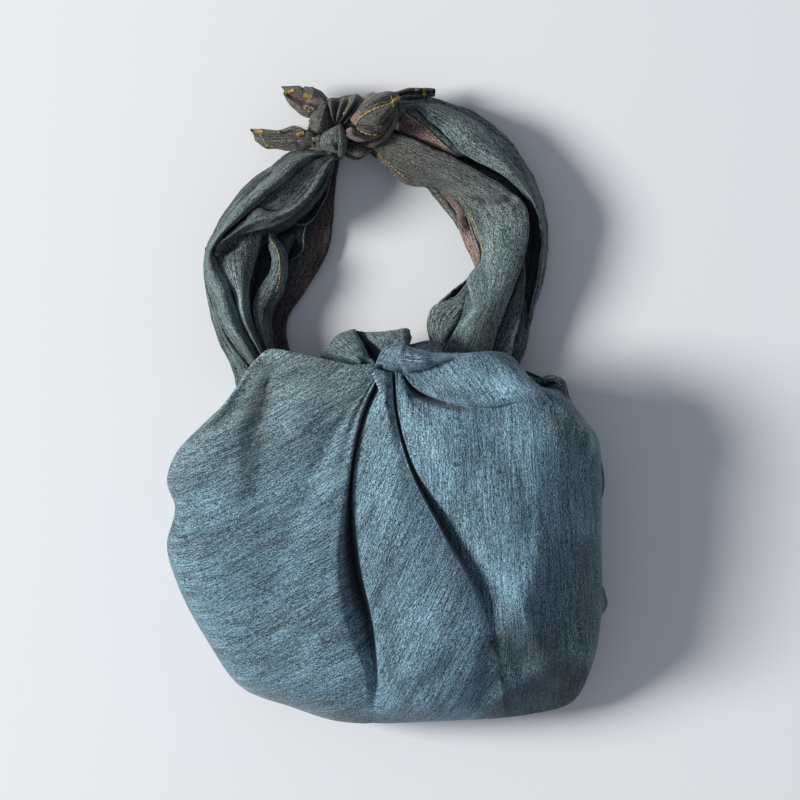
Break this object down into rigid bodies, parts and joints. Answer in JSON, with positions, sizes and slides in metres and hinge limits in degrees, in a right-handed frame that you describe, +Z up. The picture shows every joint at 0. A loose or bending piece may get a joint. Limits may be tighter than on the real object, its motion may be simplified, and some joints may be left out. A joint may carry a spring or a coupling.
{
  "type": "furoshiki wrap bag",
  "caption": "Square hemmed wrapping cloth knotted into an open carrying bag with a looped handle, lying flat on its back with nothing inside.",
  "frame": {"origin": "middle of the bag's bounding box, on the surface that it lies on", "axes": "+Y from the bag up to the knot of the handle, +X to the right as it is looked at, +Z up from the surface"},
  "size_m": [0.3047, 0.4496, 0.1043],
  "materials": {
    "furoshiki_cloth": "matte dyed cotton, blue on the bag and shading to grey green and brown at the corners; pinkish brown on the wrong side; yellow topstitch at the hem"
  },
  "bodies": {
    "root": {"furoshiki_cloth": "furoshiki_cloth"}
  },
  "joints": []
}
